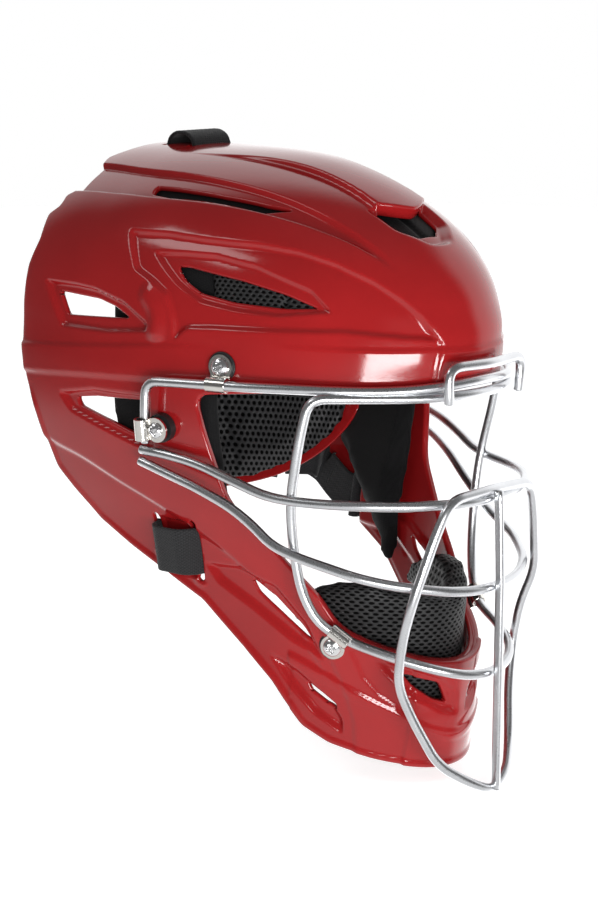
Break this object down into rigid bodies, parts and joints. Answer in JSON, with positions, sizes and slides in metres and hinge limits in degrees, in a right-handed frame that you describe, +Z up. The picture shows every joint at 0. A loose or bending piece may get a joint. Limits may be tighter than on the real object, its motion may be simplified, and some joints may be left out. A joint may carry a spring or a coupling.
{
  "type": "catcher's mask",
  "caption": "Hockey-style catcher's mask: vented hard shell with a wire face cage, liner pads and a strapped back plate that pulls back and tilts.",
  "frame": {"origin": "middle of the wearer's head at eye level, where the head sits in the mask", "axes": "+Z up through the crown, -Y out of the face, +X to the wearer's left"},
  "size_m": [0.213, 0.264, 0.3262],
  "materials": {
    "red_plastic": "moulded, clear coated",
    "mesh_fabric": "spacer mesh over foam",
    "cage_wire": "plated steel wire",
    "clip_steel": "plated steel strip",
    "screw_steel": "plated",
    "black_rubber": "moulded",
    "black_plastic": "moulded",
    "webbing": "woven elastic webbing"
  },
  "bodies": {
    "helmet": {"outer_shell": "red_plastic", "brow_pad": "mesh_fabric", "crown_pad": "mesh_fabric", "side_pad_right": "mesh_fabric", "side_pad_left": "mesh_fabric", "chin_pad": "mesh_fabric", "brow_bar": "cage_wire", "eye_ring": "cage_wire", "upper_cheek_bar": "cage_wire", "lower_cheek_bar": "cage_wire", "front_guard_loop": "cage_wire", "center_bar": "cage_wire", "brow_guard_loop": "cage_wire", "temple_clips": "clip_steel", "side_clips": "clip_steel", "jaw_clips": "clip_steel", "side_spacers": "black_rubber", "clip_screws": "screw_steel", "clip_nuts": "screw_steel", "top_strap_loop": "webbing", "side_strap_right": "webbing", "side_strap_left": "webbing", "top_strap": "webbing", "lower_strap_right": "webbing", "lower_strap_left": "webbing"},
    "strap_end": {"top_strap_end": "webbing"},
    "back_plate": {"back_plate": "red_plastic", "back_plate_pad": "mesh_fabric", "plate_crossbar": "red_plastic", "lower_strap_ends": "webbing", "strap_studs": "black_plastic"}
  },
  "joints": [
    {"name": "back_plate_pull", "type": "slide", "parent": "helmet", "child": "strap_end", "axis": [0, 1, 0], "range_m": [0, 0.028], "stiffness_N_per_m": 400, "deforming": ["top_strap", "lower_strap_right", "lower_strap_left"]},
    {"name": "back_plate_tilt", "type": "hinge", "parent": "strap_end", "child": "back_plate", "pos_m": [0, 0.101, 0.066], "axis": [1, 0, 0], "range_deg": [-4, 12], "stiffness_Nm_per_rad": 1.5}
  ]
}
